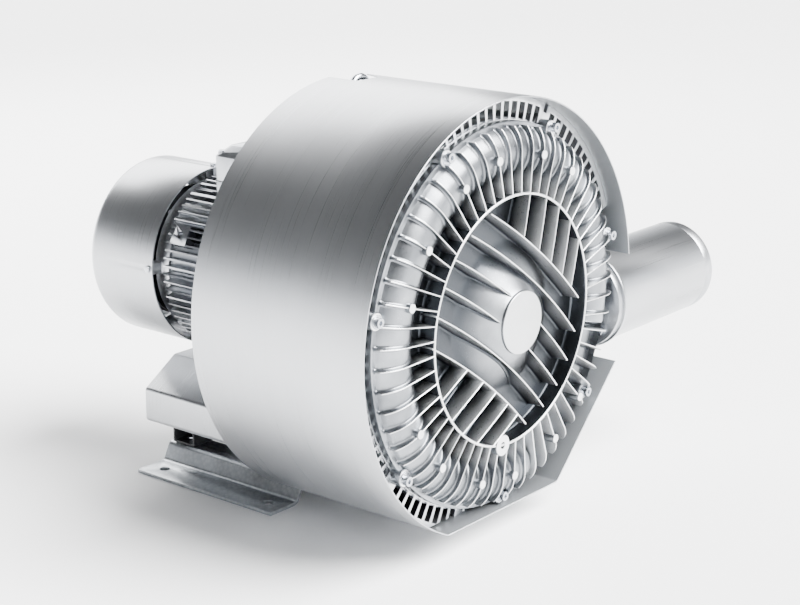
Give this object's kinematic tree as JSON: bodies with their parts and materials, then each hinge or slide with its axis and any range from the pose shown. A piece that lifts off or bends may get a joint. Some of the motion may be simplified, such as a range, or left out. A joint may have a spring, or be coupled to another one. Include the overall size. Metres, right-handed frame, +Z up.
{
  "type": "side channel blower",
  "caption": "Two-stage side channel blower with ribbed round cover, sheet cowl, finned motor, foot rails and side silencers.",
  "frame": {"origin": "centre of the foot bolt pattern, on the floor", "axes": "+Y along the shaft from the cover to the motor, +X toward the silencers, +Z up"},
  "size_m": [0.844, 0.709, 0.614],
  "materials": {
    "cast_aluminium": "satin",
    "impeller_aluminium": "satin",
    "brushed_sheet": "satin",
    "grille_sheet": "satin",
    "galvanised_steel": "satin",
    "zinc_fastener": "satin",
    "ground_steel": "gloss",
    "lamination": "satin",
    "copper_winding": "satin",
    "sealing_rubber": "matte",
    "black_plastic": "matte",
    "absorber_foam": "matte"
  },
  "bodies": {
    "machine": {"front_cover": "cast_aluminium", "middle_housing": "cast_aluminium", "rear_housing": "cast_aluminium", "front_shield": "cast_aluminium", "rear_shield": "cast_aluminium", "motor_frame": "cast_aluminium", "front_port_neck": "cast_aluminium", "rear_port_neck": "cast_aluminium", "front_silencer_cap": "cast_aluminium", "rear_silencer_cap": "cast_aluminium", "terminal_base": "cast_aluminium", "terminal_lid": "cast_aluminium", "cowl": "brushed_sheet", "fan_cowl": "brushed_sheet", "lower_duct": "brushed_sheet", "front_silencer_body": "brushed_sheet", "rear_silencer_body": "brushed_sheet", "air_grille": "grille_sheet", "duct_grille": "grille_sheet", "duct_bulkheads": "grille_sheet", "left_rail": "galvanised_steel", "right_rail": "galvanised_steel", "cross_beams": "galvanised_steel", "cover_bolts": "zinc_fastener", "cover_washers": "zinc_fastener", "tie_bolts": "zinc_fastener", "cowl_screws": "zinc_fastener", "fan_cowl_screws": "zinc_fastener", "shield_screws": "zinc_fastener", "lid_screws": "zinc_fastener", "rail_bolts": "zinc_fastener", "silencer_bolts": "zinc_fastener", "lifting_eye": "zinc_fastener", "bearing_outer_rings": "ground_steel", "wave_spring": "ground_steel", "stator_core": "lamination", "stator_windings": "copper_winding", "terminal_studs": "copper_winding", "cover_gasket": "sealing_rubber", "middle_gasket": "sealing_rubber", "interstage_seal": "sealing_rubber", "shaft_seal": "sealing_rubber", "terminal_gasket": "sealing_rubber", "terminal_board": "black_plastic", "cable_gland": "black_plastic", "blanking_plug": "black_plastic", "front_silencer_sleeve": "absorber_foam", "rear_silencer_sleeve": "absorber_foam"},
    "rotor": {"front_impeller": "impeller_aluminium", "rear_impeller": "impeller_aluminium", "rotor_shaft": "ground_steel", "impeller_key": "ground_steel", "distance_sleeve": "ground_steel", "end_washer": "zinc_fastener", "shaft_nut": "zinc_fastener", "bearing_inner_rings": "ground_steel", "rotor_core": "lamination", "cooling_fan": "black_plastic"}
  },
  "joints": [
    {"name": "rotor_spin", "type": "hinge", "parent": "machine", "child": "rotor", "pos_m": [0, 0, 0.308], "axis": [0, 1, 0], "continuous": true}
  ]
}
